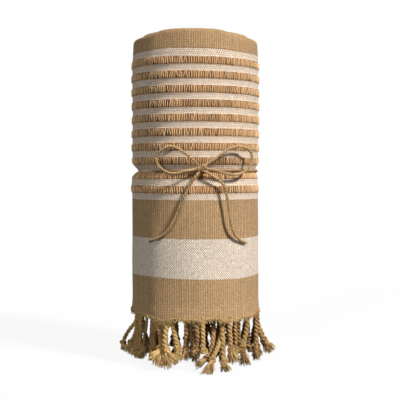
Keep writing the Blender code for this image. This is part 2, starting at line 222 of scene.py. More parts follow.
# Cords seen from the front, listed one by one: width in millimetres, how light, the way the loose end points,
# the length of the loose end and its half width, and points down the cord.
FRONT_CORDS = {
    # Cords 10 to 14 hang at the left, in the lamps' shade; their light shades are painted light.
    10: (3.2, 1, (0.25, -0.1, -1), 6, 3.2, (
        (-44.3, 11, 32.2), (-46.6, 10, 25.4), (-51.2, 9, 19.3), (-54.4, 9, 13.9), (-55.8, 9, 10))),
    11: (3.5, 0.8, (-0.2, -0.1, -1), 8, 3.4, (
        (-44, 6, 32.2), (-44.3, 5, 23.9), (-46.5, 3, 16.5), (-49.1, 2, 11.4))),
    12: (3.4, 0.8, (-0.1, -0.2, -1), 7, 3.2, (
        (-44.5, 0, 33.1), (-45.1, -1, 24.9), (-44.6, -2, 15.9), (-45.3, -3, 9.3))),
    13: (3.3, -0.7, (0.2, -0.2, -1), 6.5, 3.4, (
        (-42.8, -6, 32.6), (-42.1, -8, 22.3), (-43, -9, 14.2), (-43.3, -11, 8.6))),
    14: (3.4, 0.85, (0, -0.3, -1), 6, 3.2, (
        (-40.4, -13, 33.3), (-40.6, -14, 24.9), (-40.8, -15, 15.3), (-40.1, -16, 8.8))),
    15: (2.6, 0.6, (-0.1, -0.2, -1), 7.5, 2.6, (
        (-35.6, -24, 33.6), (-36, -23, 27.2), (-37.3, -21, 20.2), (-37.6, -20, 13.3))),
    16: (3.4, -0.55, (0.1, -0.3, -1), 8, 3.6, (
        (-30.7, -29, 33.7), (-31, -28, 25.9), (-32, -27, 19.1), (-31.3, -28, 12.7))),
    17: (3.4, 0.55, (-0.2, -0.3, -1), 7, 3.8, (
        (-27.6, -33, 33.3), (-29.1, -31, 25.7), (-29.8, -30, 18.2), (-28.5, -31, 11.8))),
    18: (4.2, -0.85, (-0.45, -0.4, -1), 11, 5.8, (
        (-28.6, -35.5, 34.6), (-26.9, -37.5, 30.8), (-24.9, -39, 25), (-24.2, -40.5, 19.3),
        (-24.5, -42, 14.8))),
    19: (4.2, 0.92, (0.5, -0.4, -1), 12, 6.2, (
        (-18.6, -41.5, 34.6), (-20.2, -42.5, 30.4), (-21.2, -43.5, 25), (-21.5, -44, 19.3),
        (-20.8, -45.5, 14.8))),
    20: (3.6, 0.85, (0, -0.5, -1), 12, 5.6, (
        (-23.6, -37, 33.8), (-23.2, -37.5, 25.3), (-22.9, -39.5, 18.5), (-22.7, -43, 13.8))),
    21: (3.9, 0.92, (-0.05, -0.3, -1), 9, 4.2, (
        (-16.3, -42, 34.4), (-15, -42, 27.6), (-13.6, -42, 21.2), (-12.2, -43, 14.9))),
    22: (3.6, -0.5, (-0.2, -0.3, -1), 8, 3.4, (
        (-6.1, -43, 34.2), (-6.1, -42, 26.9), (-6.4, -40, 20.1), (-6.1, -40, 15))),
    23: (3.4, 0.25, (-0.1, -0.3, -1), 8, 3.8, (
        (-2.9, -42, 34.1), (-2.7, -40, 26.5), (-2.2, -39, 19.9), (-1.5, -39, 15.5))),
    24: (4.2, -0.4, (-0.3, -0.3, -1), 5, 3, (
        (1.3, -44.5, 33.8), (1.9, -46, 26.9), (2.5, -46, 20.5), (1.9, -46, 15.5))),
    25: (3.5, 0.95, (0, -0.1, -1), 1.8, 1.8, (
        (5.6, -46, 34), (5.8, -47.5, 27.2), (6, -48.5, 20.2), (6.2, -49.5, 14.8))),
    26: (3.8, -0.35, (-1, -0.3, -0.75), 9.5, 2.6, (
        (12.6, -33, 33.5), (13.4, -36.5, 27.3), (12.6, -41.5, 19), (11.4, -46, 13), (8.5, -49, 9.7))),
    27: (3.6, 0.7, (-0.35, -0.5, -1), 11.5, 4.6, (
        (20.6, -26, 33.7), (20.2, -31, 27.5), (18.7, -38, 22.5), (16.8, -45.5, 18), (14.2, -51.5, 13.6),
        (12.2, -55.5, 9.8))),
    28: (3.9, 0.55, (0.35, -0.6, -1), 7.5, 4.2, (
        (19.6, -34.5, 34.5), (19.8, -39.5, 26.3), (20.1, -44, 18.1), (20.3, -47.5, 10.8),
        (20.4, -48.5, 6.7))),
    29: (3.5, -0.78, (0.1, -0.1, -1), 9.5, 3.8, (
        (24.9, -39, 32.8), (25.3, -40, 26.5), (25.8, -40.5, 20.1), (25.9, -41, 14.5))),
    30: (3.3, 0.6, (0.1, -0.1, -1), 8.5, 3.2, (
        (29.1, -35, 32.9), (29.3, -35, 25.6), (29.5, -35.5, 18.5), (28.9, -36, 12.8))),
    31: (3.4, -0.3, (0.15, -0.3, -1), 10, 5, (
        (32, -31, 33), (31.6, -29, 24.6), (32.6, -28, 17.1), (35.1, -29, 10.7))),
    32: (3.9, 0.55, (-0.5, -0.2, -1), 5.5, 2.8, (
        (38.2, -25, 34.2), (38.3, -25.5, 26.9), (36.7, -27, 20.5), (34.3, -29, 15))),
    33: (3.4, 0.5, (-1, -0.1, -0.5), 5.5, 2.2, (
        (45.5, -11, 31.9), (44.7, -10.5, 25), (43.2, -11, 19.1), (43.1, -12, 14.8), (40.5, -13.5, 11.7))),
    34: (3.6, -0.45, (0.05, -0.15, -1), 8, 3.2, (
        (45.4, -13, 36), (45.7, -14, 27.1), (45.4, -15, 18.3), (45.2, -16, 10.3))),
    53: (3.4, -0.25, (0.1, -0.2, -1), 6, 3, (
        (8.6, -26, 34), (10.4, -28, 27), (13.4, -30, 20), (15.4, -31, 13))),
    35: (3.6, 0.5, (0.8, -0.1, -0.75), 8, 3.4, (
        (47.3, -3, 32.9), (47.9, -3.5, 24.6), (49.8, -4.5, 17.9), (53.2, -5.5, 12.4))),
}


# ---- Small helpers ----


def stacked(*parts):
    """Numbers or arrays of matching shapes, side by side along a new last axis."""
    return np.stack(np.broadcast_arrays(*parts), -1)


def unit(vectors, least=0.0):
    """The vectors made 1 long."""
    return vectors / (np.linalg.norm(vectors, axis=-1, keepdims=True) + least)


def ring(turned, side, up):
    """Directions at the turned angles round lines whose side and up directions are given."""
    turned = turned[..., None]
    return np.cos(turned) * side + np.sin(turned) * up


def directions(angle):
    """Outward and anticlockwise at an angle round the roll."""
    cos, sin = np.cos(angle), np.sin(angle)
    return stacked(cos, sin, 0.0), stacked(-sin, cos, 0.0)


def thread_shares(count):
    """Shares along threads, for arrays[thread, point, xyz]."""
    return np.linspace(0, 1, count)[None, :, None]


def new_object(name, data):
    made = bpy.data.objects.new(name, data)
    bpy.context.scene.collection.objects.link(made)
    return made


# ---- The spiral, for numbers or arrays ----


def angle_at(turn):
    return END_ANGLE - TURN * (TURNS - turn)


def last_turn_at(angle):
    return TURNS - (END_ANGLE - angle) / TURN % 1.0


def middle_radius(turn):
    angle = angle_at(turn)
    uneven = 0.0004 * np.sin(2 * angle + 0.6) + 0.0003 * np.sin(3 * angle + 2.0)
    return CORE_RADIUS + PACKET * turn + uneven


def smooth_step(value, start, end):
    share = np.clip((value - start) / (end - start), 0.0, 1.0)
    return share * share * (3 - 2 * share)


def pinch(angle, z):
    """The cloth drawn in by the twine; at its middle it is nearly as deep as the twine is thick."""
    depth = PINCH_DEPTH - PINCH_LEFT_EXTRA * np.cos(angle)
    reach = WAIST_REACH * (1 - 0.35 * smooth_step(-np.cos(angle), 0.25, 0.8))
    return depth * np.exp(-((np.abs(z - PINCH_Z) / reach) ** 1.4))


# The line of the front hem: degrees round from the front, and height in millimetres.
HEM_LINE = (
    (-110, 37.2), (-73, 37.7), (-62, 36.7), (-52, 36.3), (-41, 36.6), (-33, 35.1), (-27, 33.7),
    (-22, 34.4), (-17, 35.7), (-11, 35.5), (-3, 35.6), (6, 34.7), (9, 34.1), (14, 35.1), (19, 35.9),
    (25, 34.8), (31, 33.4), (35, 33.2), (42, 33.8), (51, 35.0), (63, 34.6), (82, 35.6), (110, 37.2),
)


def from_front(angle):
    """Radians round from the front of the roll, anticlockwise seen from above."""
    return np.arctan2(np.cos(angle), -np.sin(angle))


def hem_drop(angle):
    """How far the front hem hangs below HEM_Z."""
    degrees, heights = np.transpose(HEM_LINE)
    return HEM_Z - np.interp(np.degrees(from_front(angle)), degrees, heights) * MM


def sag(angle, z):
    """How far the stripes hang below or above level, seen from the front."""
    front = np.clip(-np.sin(angle), 0, 1) ** 0.5
    sideways = np.sin(1.5 * from_front(angle))
    low = 1 - smooth_step(z, 0.062, 0.120)
    high = smooth_step(z, 0.19, 0.225)
    tilt = (0.00035 + 0.00095 * sideways) * low + (0.00005 + 0.00035 * sideways) * high
    near_hem = (1 - smooth_step(z, HEM_Z, 0.052)) ** 1.5
    return front * tilt * (1 - near_hem) + near_hem * hem_drop(angle)


def rim_top(turn):
    inwards = TURNS - turn
    inner = TOP_Z - 0.0009 * np.maximum(0.0, inwards - 2.0) - 0.0004 * (1 - np.cos(2.3 * inwards))
    front = smooth_step(-np.sin(angle_at(turn)), 0.65, 0.95)
    wrap = TOP_Z - WRAP_FRONT_DROP - WRAP_SIDE_DROP * (1 - front)
    return wrap + (inner - wrap) * smooth_step(inwards, 0.92, 1.10)


def top_drawn_in(z):
    reach = np.maximum(0.0, (z - TOP_DRAW_START) / (TOP_Z - TOP_DRAW_START))
    return TOP_DRAWN_IN * reach**1.5


def stripe_raise(z):
    """The ribbed stripes stand a little proud of the plain weave."""
    nearest = np.clip(np.round((TOP_STRIPE_Z - z) / STRIPE_PITCH), 0, STRIPE_COUNT - 1)
    off = np.abs(z - (TOP_STRIPE_Z - nearest * STRIPE_PITCH))
    half = STRIPE_HEIGHT / 2
    return STRIPE_RAISE * (1 - smooth_step(off, half - 0.0009, half + 0.0005))


def place(turn, radius, z):
    angle = angle_at(turn)
    return stacked(radius * np.cos(angle), radius * np.sin(angle), z) + AXIS


# Creases pressed into the outer wrap: degrees round the roll, height, half width and half height
# in millimetres, depth in millimetres (less than 0 is a ridge) and millimetres of slant.
CREASES = (
    (192, 150, 2.2, 9, 1.3, 1.5), (203, 137, 2, 9, 1.1, -2), (186, 136, 1.8, 7, -0.8, 1),
    (213, 151, 1.8, 8, 0.9, 2), (204, 146.5, 9, 1.7, -0.7, 0), (204, 139.5, 9, 1.7, -0.6, 0),
    (222, 138, 1.6, 8, 0.4, -1), (238, 149, 1.6, 6, 0.35, 1), (251, 137, 1.5, 6, 0.35, 0.5),
    (284, 151, 1.6, 7, 0.4, -1), (297, 137, 1.5, 7, 0.4, 1), (316, 150, 1.7, 8, 0.45, 1.5),
    (333, 137, 1.8, 8, 0.5, -1.5), (349, 150, 2, 9, 0.7, -1), (8, 137, 2, 9, 0.6, 1),
    (30, 149, 2, 8, 0.5, 1), (52, 138, 2, 9, 0.6, -1.5), (96, 150, 2, 9, 0.6, 1.5),
    (121, 137, 2, 8, 0.5, 1), (149, 150, 2, 9, 0.6, -1), (170, 139, 2, 8, 0.6, 1),
    (236, 205, 7, 60, 0.25, 4), (300, 95, 8, 50, 0.25, -3), (262, 75, 9, 40, -0.2, 3),
    (215, 110, 7, 45, 0.25, 3),
)


def creases(angle, z, radius):
    """The depth of all creases at a place on the outer wrap."""
    depth = np.zeros(np.broadcast(angle, z).shape)
    for degrees, height, half_width, half_height, deep, slant in CREASES:
        across = (angle - math.radians(degrees) + math.pi) % TURN - math.pi
        up = (z - height * MM) / (half_height * MM)
        off = (across * radius - slant * MM * up) / (half_width * MM)
        depth = depth + deep * MM * np.exp(-(off**2) - up**2)
    return depth


def skin_radius(turn, z, offset=SKIN):
    """The radius of the layer at that offset from the packet's middle, in the last turn."""
    angle = angle_at(turn)
    share = (offset + SKIN) / (2 * SKIN)
    middle = middle_radius(turn)
    pressed = pinch(angle, z) + top_drawn_in(z) + creases(angle, z, middle + SKIN)
    ripple = 0.00012 * np.sin(9 * angle + 40 * z) + 0.00010 * np.sin(140 * z + 5 * angle)
    return middle + offset + share * (stripe_raise(z) - pressed + ripple)


# ---- Meshes ----


class Pile:
    """Collects points, faces, texture places and shades, and makes one object of them."""

    def __init__(self):
        self.points, self.faces, self.places, self.shades = [], [], [], []
        self.count = 0

    def add(self, points, faces, places, shade):
        """Faces count their points from the first of these; less than 0 reaches back to earlier ones."""
        points = np.asarray(points, dtype=float).reshape(-1, 3)
        self.points.append(points)
        self.faces.append(np.asarray(faces, dtype=np.int64) + self.count)
        self.places.append(np.asarray(places, dtype=float).reshape(-1, 2))
        self.shades.append(np.broadcast_to(shade, (len(points),)).astype(float))
        self.count += len(points)
        return self

    def grid(self, points, places=(0.0, 0.0), closed=False, shade=0.5):
        """Quads over points[..., row, column, xyz]; closed joins the last column to the first."""
        shape = points.shape[:-1]
        index = np.arange(math.prod(shape)).reshape(shape)
        right = np.roll(index, -1, axis=-1) if closed else index[..., 1:]
        left = index if closed else index[..., :-1]
        corners = (left[..., :-1, :], right[..., :-1, :], right[..., 1:, :], left[..., 1:, :])
        faces = np.stack(corners, -1).reshape(-1, 4)
        return self.add(points, faces, np.broadcast_to(places, (*shape, 2)), shade)

    def tube(self, path, radius, sides, shade, lobes=0, lobe_depth=0.0):
        """A tube along path with closed ends; lobes make its section wavy."""
        _, side, up = frames(path)
        turned = np.arange(sides) / sides * TURN
        lobed = radius * (1 + lobe_depth * np.cos(lobes * turned))
        points = path[:, None] + ring(turned, side[:, None], up[:, None]) * lobed[:, None]
        along = lengths(path)
        self.grid(points, stacked(turned / TURN, along[:, None]), closed=True, shade=shade)
        first, last = -len(path) * sides, -sides
        here = np.arange(sides)
        after = np.roll(here, -1)
        caps = np.vstack((stacked(0, after + first, here + first), stacked(1, here + last, after + last)))
        self.add(path[[0, -1]], caps, ((0.5, 0.0), (0.5, along[-1])), shade)

    def threads(self, paths, radii, shades):
        """Many thin three-sided threads: paths[thread, point, xyz] and radii[thread, point]."""
        along = unit(np.gradient(paths, axis=1), 1e-12)[:, :, None]
        helper = np.where(np.abs(along[..., 2:]) > 0.9, (1.0, 0.0, 0.0), (0.0, 0.0, 1.0))
        side = unit(np.cross(along, helper), 1e-12)
        turned = np.arange(3) / 3 * TURN
        radii = np.broadcast_to(radii, paths.shape[:2])[:, :, None, None]
        points = paths[:, :, None] + ring(turned, side, np.cross(along, side)) * radii
        count = paths.shape[1]
        places = stacked(turned / TURN, np.linspace(0, 0.01, count)[:, None])
        return self.grid(points, places, closed=True, shade=np.repeat(shades, count * 3))

    def object(self, name, material, slot, node=None):
        """One object of the whole pile; it takes the place of a node if one is named. The slot is not used.
        """
        mesh = bpy.data.meshes.new(name)
        faces = [tuple(face) for block in self.faces for face in block.tolist()]
        mesh.from_pydata(np.vstack(self.points).tolist(), [], faces)
        corners = np.zeros(len(mesh.loops), dtype=np.int64)
        mesh.loops.foreach_get("vertex_index", corners)
        layer = mesh.uv_layers.new(name="weave")
        layer.data.foreach_set("uv", np.vstack(self.places)[corners].ravel())
        shade = mesh.attributes.new("shade", "FLOAT", "POINT")
        shade.data.foreach_set("value", np.concatenate(self.shades))
        mesh.shade_smooth()
        mesh.materials.append(material)
        made = new_object(name, mesh)
        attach(made, "root")
        if node:
            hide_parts(node)
        return made


def lengths(path):
    steps = np.linalg.norm(np.diff(path, axis=0), axis=1)
    return np.concatenate(((0.0,), np.cumsum(steps)))


def frames(path):
    """Tangent, side and up at each point, carried along without twisting."""
    along = unit(np.gradient(path, axis=0))
    start = np.array((1.0, 0.0, 0.0) if abs(along[0, 0]) < 0.8 else (0.0, 0.0, 1.0))
    side = np.zeros_like(path)
    side[0] = unit(start - along[0] * start.dot(along[0]))
    for i in range(1, len(path)):
        kept = side[i - 1] - along[i] * side[i - 1].dot(along[i])
        side[i] = kept / np.linalg.norm(kept)
    return along, side, np.cross(along, side)


def smooth_route(points, step):
    """Points about a step apart on a smooth curve through the route's own points."""
    points = np.asarray(points, dtype=float)
    ends = np.vstack((2 * points[0] - points[1], points, 2 * points[-1] - points[-2]))
    t = np.arange(24)[:, None] / 24
    fine = []
    for a, b, c, d in zip(ends, ends[1:], ends[2:], ends[3:]):
        square = 2 * a - 5 * b + 4 * c - d
        cube = 3 * b - a - 3 * c + d
        fine.append(0.5 * (2 * b + (c - a) * t + square * t**2 + cube * t**3))
    fine = np.vstack(fine + [points[-1:]])
    along = lengths(fine)
    wanted = np.linspace(0, along[-1], max(2, round(along[-1] / step)) + 1)
    return stacked(*(np.interp(wanted, along, axis) for axis in fine.T))


def twist_plies(path, offset, lay, phase=0.0):
    """The middle lines of two plies twisted round a path, S-laid."""
    _, side, up = frames(path)
    turned = phase - lengths(path) / lay * TURN
    return [path + offset * ring(turned + start, side, up) for start in (0.0, math.pi)]


# ---- Materials ----


class Nodes:
    """Short ways to make the nodes of one tree."""

    def __init__(self, tree):
        self.tree = tree

    def feed(self, socket, value):
        """Links an output to the socket, or sets a number, a vector or a colour on it."""
        if isinstance(value, bpy.types.NodeSocket):
            self.tree.links.new(value, socket)
        else:
            socket.default_value = (*value, 1.0) if socket.type == "RGBA" else value

    def node(self, kind, inputs=(), output=0, **settings):
        """Makes a node, feeds its inputs, by name or in order, and returns one of its outputs."""
        made = self.tree.nodes.new("ShaderNode" + kind)
        for key, value in settings.items():
            setattr(made, key, value)
        for key, value in inputs.items() if isinstance(inputs, dict) else enumerate(inputs):
            self.feed(made.inputs[key], value)
        return made.outputs[output]


class Shader(Nodes):
    """A material and short names for the sums and textures it is made of."""

    def __init__(self, name, roughness=0.92, sheen=0.06):
        self.material = bpy.data.materials.new(name)
        self.material.use_nodes = True
        super().__init__(self.material.node_tree)
        self.surface = self.tree.nodes["Principled BSDF"]
        self.surface.inputs["Roughness"].default_value = roughness
        self.surface.inputs["Specular IOR Level"].default_value = 0.2
        self.surface.inputs["Sheen Weight"].default_value = sheen
        self.surface.inputs["Sheen Roughness"].default_value = 0.5

    def math(self, operation, *values):
        return self.node("Math", values, operation=operation)

    def times(self, value, amount):
        return self.math("MULTIPLY", value, amount)

    def less(self, value, amount):
        return self.math("SUBTRACT", value, amount)

    def line(self, value, slope, start):
        return self.math("MULTIPLY_ADD", value, slope, start)

    def about(self, noise, reach, middle):
        """A noise, whose own middle is 0.5, turned into a value that swings about middle."""
        return self.line(self.less(noise, 0.5), reach, middle)

    def step(self, value, start, end):
        """0 below start, 1 above end, smooth between."""
        inputs = {"Value": value, "From Min": start, "From Max": end}
        return self.node("MapRange", inputs, interpolation_type="SMOOTHSTEP")

    def band(self, value, low, high, soft):
        return self.less(self.step(value, low - soft, low + soft), self.step(value, high - soft, high + soft))

    def mix(self, share, first, second):
        return self.node("Mix", {0: share, 6: first, 7: second}, 2, data_type="RGBA")

    def scaled(self, colour, amount):
        """A colour made lighter or darker by an amount about 1."""
        return self.node("VectorMath", {0: colour, 3: amount}, operation="SCALE")

    def weave_place(self):
        place = self.node("UVMap", uv_map="weave")
        return [self.node("SeparateXYZ", (place,), axis) for axis in (0, 1)]

    def object_place(self):
        return self.node("TexCoord", output="Object")

    def noise(self, scale, detail=2.0, where=None):
        """Noise with that many cells to a metre, over the object unless a place is given."""
        inputs = {"Vector": where or self.object_place(), "Scale": scale, "Detail": detail}
        return self.node("TexNoise", inputs)

    def weave_noise(self, place, across_cells, along_cells, z=0.0, detail=2.0):
        """Noise with that many cells to a metre of cloth each way; every z has its own pattern."""
        across, along = self.times(place[0], across_cells), self.times(place[1], along_cells)
        return self.noise(1.0, detail, self.node("CombineXYZ", (across, along, z)))

    def shade(self):
        return self.node("Attribute", output="Fac", attribute_name="shade")

    def bump(self, height, depth):
        """height from 0 to 1 raises the surface by up to depth."""
        normal = self.node("Bump", {"Strength": 1.0, "Distance": depth, "Height": height})
        self.feed(self.surface.inputs["Normal"], normal)

    def colour(self, value):
        self.feed(self.surface.inputs["Base Color"], value)


BEIGE = (0.60, 0.385, 0.195)
BEIGE_LIGHT = (0.735, 0.50, 0.28)
# Painted shade on the beige where the weft lies on top.
BEIGE_PAINTED_SHADE = (0.29, 0.165, 0.072)
BAND_SPOT = (0.47, 0.32, 0.19)
STRIPE_SPOT = (0.52, 0.29, 0.13)
WHITE_YARN = (0.99, 0.885, 0.76)
BROWN_DARK = (0.11, 0.056, 0.026)
BROWN_WARM = (0.48, 0.225, 0.085)
FLOAT_DARK = (0.60, 0.335, 0.15)
HEM_YARN = (0.66, 0.50, 0.21)
FLOAT_LIGHT = (0.89, 0.605, 0.335)
CORD_DARK = (0.25, 0.148, 0.060)
CORD_LIGHT = (0.61, 0.41, 0.148)
CORD_RED = (0.50, 0.275, 0.115)
TUFT_DARK = (0.36, 0.205, 0.075)
TUFT_LIGHT = (1.0, 0.74, 0.315)
TUFT_RED = (0.80, 0.42, 0.19)
JUTE = (0.35, 0.207, 0.096)
JUTE_LIGHT = (0.80, 0.55, 0.28)
JUTE_RED = (0.50, 0.31, 0.15)


def cloth_stripes(m, height):
    """Where the cloth is in its striped part, white and brown, by its height in the roll."""
    soft = 0.0002
    striped = m.band(height, *STRIPED_Z, soft)
    white_band = m.band(height, *WHITE_BAND_Z, soft)
    step = m.math("DIVIDE", m.less(height, TOP_STRIPE_Z), STRIPE_PITCH)
    off = m.times(m.math("PINGPONG", step, 0.5), STRIPE_PITCH)
    ground_half = STRIPE_HEIGHT / 2 - 0.0003
    brown = m.times(m.less(1.0, m.step(off, ground_half - soft, ground_half + soft)), striped)
    return striped, m.less(m.math("ADD", striped, white_band), brown), brown


def cloth_material():
    """Plain weave with white bands and the brown grounds of the ribbed stripes."""
    m = Shader("towel_cloth")
    place = across, along = m.weave_place()
    from_end = m.math("MINIMUM", along, m.less(TOWEL_LENGTH, along))
    height = m.about(m.weave_noise(place, 90, 60), 0.0006, m.math("ADD", from_end, HEM_Z))
    striped, white, brown = cloth_stripes(m, height)

    bent = m.about(m.weave_noise(place, 160, 45, 3.0), 0.0009, across)
    swayed = m.about(m.weave_noise(place, 210, 70, 5.0), 0.0016, along)
    picks = m.line(striped, -0.3 * math.pi / WEFT_PITCH, math.pi / WEFT_PITCH)
    warp = m.math("SINE", m.times(bent, math.pi / WARP_PITCH))
    checks = m.times(warp, m.math("SINE", m.times(swayed, picks)))
    relief = m.math("ABSOLUTE", checks)
    warp_up = m.step(checks, -0.12, 0.28)
    pairs = m.math("COSINE", m.times(bent, TURN / FLOAT_PITCH))
    streaks = m.step(m.weave_noise(place, 420, 16, 7.0, 3.0), 0.32, 0.68)
    grain = m.weave_noise(place, 900, 750)
    uneven = m.weave_noise(place, 380, 210, 11.0)
    blotches = m.weave_noise(place, 330, 330, 2.0, 1.0)

    beige = m.mix(m.times(streaks, 0.6), BEIGE, BEIGE_LIGHT)
    beige = m.scaled(beige, m.line(m.times(pairs, uneven), 0.62, 1.0))
    # Where the weft lies on top, the beige is darkened: painted shade, for weft threads that the light from
    # the right leaves darker than the warp.
    beige = m.mix(m.times(m.less(1.0, warp_up), 0.62), beige, BEIGE_PAINTED_SHADE)
    spots = m.times(warp_up, m.line(blotches, 0.8, 0.55))
    spots = m.math("MINIMUM", m.times(spots, m.line(striped, 0.14, 0.82)), 1.0)
    spotted = m.mix(spots, WHITE_YARN, m.mix(striped, BAND_SPOT, STRIPE_SPOT))
    spotted = m.scaled(spotted, m.line(pairs, 0.07, 1.0))
    colour = m.mix(white, beige, spotted)
    colour = m.mix(brown, colour, m.mix(streaks, BROWN_DARK, BROWN_WARM))
    at_hem = m.less(1.0, m.step(height, HEM_Z + 0.0008, HEM_Z + 0.0026))
    colour = m.mix(m.times(at_hem, m.times(blotches, 1.3)), colour, HEM_YARN)
    # Darker where the threads dip at their crossings: painted shade in the weave's hollows; grain and
    # unevenness vary the tone at random.
    light = m.times(m.line(m.step(relief, 0.0, 0.45), 0.22, 0.84), m.about(grain, 1.1, 1.0))
    light = m.times(light, m.about(uneven, 0.42, 1.0))
    m.colour(m.scaled(colour, light))
    m.bump(m.line(grain, 0.3, relief), 0.00022)
    return m.material


def float_material():
    """The beige warp pairs that float over the brown weft."""
    m = Shader("rib_floats")
    grain = m.noise(2600.0, 1.0)
    m.colour(m.scaled(m.mix(m.shade(), FLOAT_DARK, FLOAT_LIGHT), m.line(grain, 0.3, 0.85)))
    m.bump(grain, 0.00006)
    return m.material


def yarn_material(name, colours, strand_turns, depth):
    """Twisted yarn: fine threads run slantwise round each ply. A shade below 0 is a redder yarn."""
    dark, light, red = colours
    m = Shader(name, roughness=0.94)
    around, along = m.weave_place()
    shade = m.shade()
    slant = m.line(along, 420.0, m.times(around, strand_turns))
    threads = m.line(m.math("SINE", m.times(slant, TURN)), 0.5, 0.5)
    grain = m.noise(2200.0)
    patches = m.noise(160.0)
    share = m.line(patches, 0.8, m.less(m.math("ABSOLUTE", shade), 0.4))
    colour = m.mix(m.math("MINIMUM", m.math("MAXIMUM", share, 0.0), 1.0), dark, light)
    redder = m.times(m.step(m.noise(240.0, 1.0), 0.48, 0.62), 0.55)
    redder = m.math("MAXIMUM", redder, m.times(m.math("LESS_THAN", shade, 0.0), 0.8))
    colour = m.mix(redder, colour, m.scaled(red, m.line(share, 0.7, 0.55)))
    m.colour(m.scaled(colour, m.line(threads, 0.22, m.line(grain, 0.3, 0.74))))
    m.bump(m.line(grain, 0.5, threads), depth)
    return m.material


def floor_material():
    """A pale floor that fades out into the white surround well away from the object."""
    m = Shader("pale_floor", roughness=0.7, sheen=0.0)
    m.colour(m.scaled((0.88, 0.88, 0.88), m.line(m.noise(900.0), 0.02, 0.99)))
    reach = m.node("VectorMath", (m.object_place(),), "Value", operation="LENGTH")
    shown = m.less(1.0, m.step(reach, FLOOR_SOLID, FLOOR_END))
    m.feed(m.surface.inputs["Alpha"], m.times(shown, FLOOR_SHARE))
    return m.material


# ---- The cloth ----


def hem_edge(turn, roots):
    """How far the hem's edge is drawn down at each cord and arches up between them."""
    edge = 0.0005 + 0.0002 * np.sin(31 * turn) + 0.00015 * np.sin(177 * turn + 1)
    for root, pull, half_width in roots:
        edge = edge - pull * np.exp(-(((turn - root) / half_width) ** 2))
    return edge


def root_pulls(cords):
    """(turn, pull, half width in turns) for each cord at the rim."""
    pulls = []
    chance = np.random.default_rng(SEEDS["hem"])
    for width, *_, points in cords:
        x, y = points[1, :2] - AXIS[:2]
        pull = chance.uniform(0.0002, 0.0009) * width / CORD_WIDTH
        half_width = chance.uniform(0.0017, 0.0028) / (TURN * RIM_RADIUS)
        if math.hypot(x, y) > RIM_FROM:
            pulls.append((last_turn_at(math.atan2(y, x)), pull, half_width))
    return pulls


def wrap_heights():
    """Heights of the rows of the outer wrap, closer in the striped part."""
    ends = (HEM_Z, STRIPED_Z[0] - 0.001, STRIPED_Z[1] + 0.001, TOP_Z - WRAP_SIDE_DROP - FOLD_RISE)
    return np.concatenate([np.arange(*span) for span in zip(ends, ends[1:], WRAP_STEPS)])


def selvedge_shift(turn, offset):
    """Near the loose end the outer layers stop short of the inner ones, the outermost most of all."""
    ramp = smooth_step(turn, TURNS - 0.5, TURNS - 0.02)
    back = SELVEDGE_STAGGER * ((offset + SKIN) / (2 * SKIN)) ** 4
    return -ramp * back / (TURN * middle_radius(turn))


def arc_length(turn, extra):
    return TURN * ((CORE_RADIUS + extra) * turn + PACKET * turn**2 / 2)


def wrap_rows(turns, cords):
    """Heights and offsets of the outer wrap's rows, from a small lip under the hem to over the fold."""
    heights = wrap_heights()[:, None]
    straight_top = rim_top(turns) - FOLD_RISE
    blend = smooth_step(heights, STRIPED_Z[1] - 0.004, heights[-1])
    z = heights + blend * (straight_top - heights[-1])
    z = z - sag(angle_at(turns), z)
    near_hem = 1 - smooth_step(heights, HEM_Z, HEM_Z + 0.006)
    z = z + near_hem * hem_edge(turns, root_pulls(cords))
    fold_z = straight_top + FOLD_RISE * np.sin(WRAP_FOLD_ANGLES)
    z = np.vstack((z[:1] + WRAP_LIP[:, :1], z, fold_z, straight_top - WRAP_TAIL))
    lip, straight, tail = SKIN - WRAP_LIP[:, 1:], 0 * heights + SKIN, 0 * WRAP_TAIL - SKIN
    return z, np.vstack((lip, straight, SKIN * np.cos(WRAP_FOLD_ANGLES), tail))


def build_wrap(cloth, cords):
    """The outermost layer of the last turn, up over the fold and a little way down behind it."""
    turns = np.linspace(TURNS - 1.0 - WRAP_OVERLAP, TURNS, WRAP_COLUMNS)[None]
    z, offset = wrap_rows(turns, cords)
    turns = turns + selvedge_shift(turns, offset)
    flare = 0.0006 * (1 - smooth_step(z, HEM_Z, HEM_Z + 0.010)) * (offset > 0)
    ribs = z + sag(angle_at(turns), z)
    points = place(turns, skin_radius(turns, ribs, offset) + flare, z)
    steps = np.linalg.norm(np.diff(points, axis=0), axis=2).mean(axis=1)
    along = np.concatenate(((0.0,), np.cumsum(steps)))
    heights = wrap_heights() - HEM_Z
    first, last = len(WRAP_LIP), len(WRAP_LIP) + len(heights)
    along[:first] -= along[first]
    along[last:] += heights[-1] - along[last - 1]
    along[first:last] = heights
    pile = Pile().grid(points, stacked(arc_length(turns, SKIN), along[:, None]))
    made = pile.object("towel_outer_wrap", cloth, "towel_cloth", "towel_roll")


def build_hem_fuzz(material):
    """Loose fibres along the hem of the outer wrap."""
    chance = np.random.default_rng(SEEDS["fuzz"])
    turn = chance.uniform(TURNS - 1.0, TURNS, FUZZ_FIBRES)
    angle = angle_at(turn)
    z = HEM_Z - sag(angle, HEM_Z) + chance.uniform(-0.0004, 0.0022, FUZZ_FIBRES)
    start = place(turn, middle_radius(turn) + SKIN + 0.0004, z)
    outward, sideways = directions(angle)
    reach = chance.uniform(0.0008, 0.0023, (FUZZ_FIBRES, 1, 1))
    direction = sideways * chance.normal(0, 0.9, (FUZZ_FIBRES, 1))
    direction += outward * chance.uniform(0.05, 0.6, (FUZZ_FIBRES, 1))
    direction[:, 2] -= chance.uniform(0.2, 1.4, FUZZ_FIBRES)
    share = thread_shares(4)
    bow = outward[:, None] * np.sin(share * math.pi) * 0.0003
    paths = start[:, None] + direction[:, None] * share * reach + bow
    shades = chance.uniform(0.55, 1.0, FUZZ_FIBRES)
    pile = Pile().threads(paths, 0.00019 - 0.00008 * share[..., 0], shades)
    pile.object("hem_fuzz", material, "towel_cloth", "towel_roll")


def layer_offset(layer):
    return SKIN - layer * LAYER_GAP


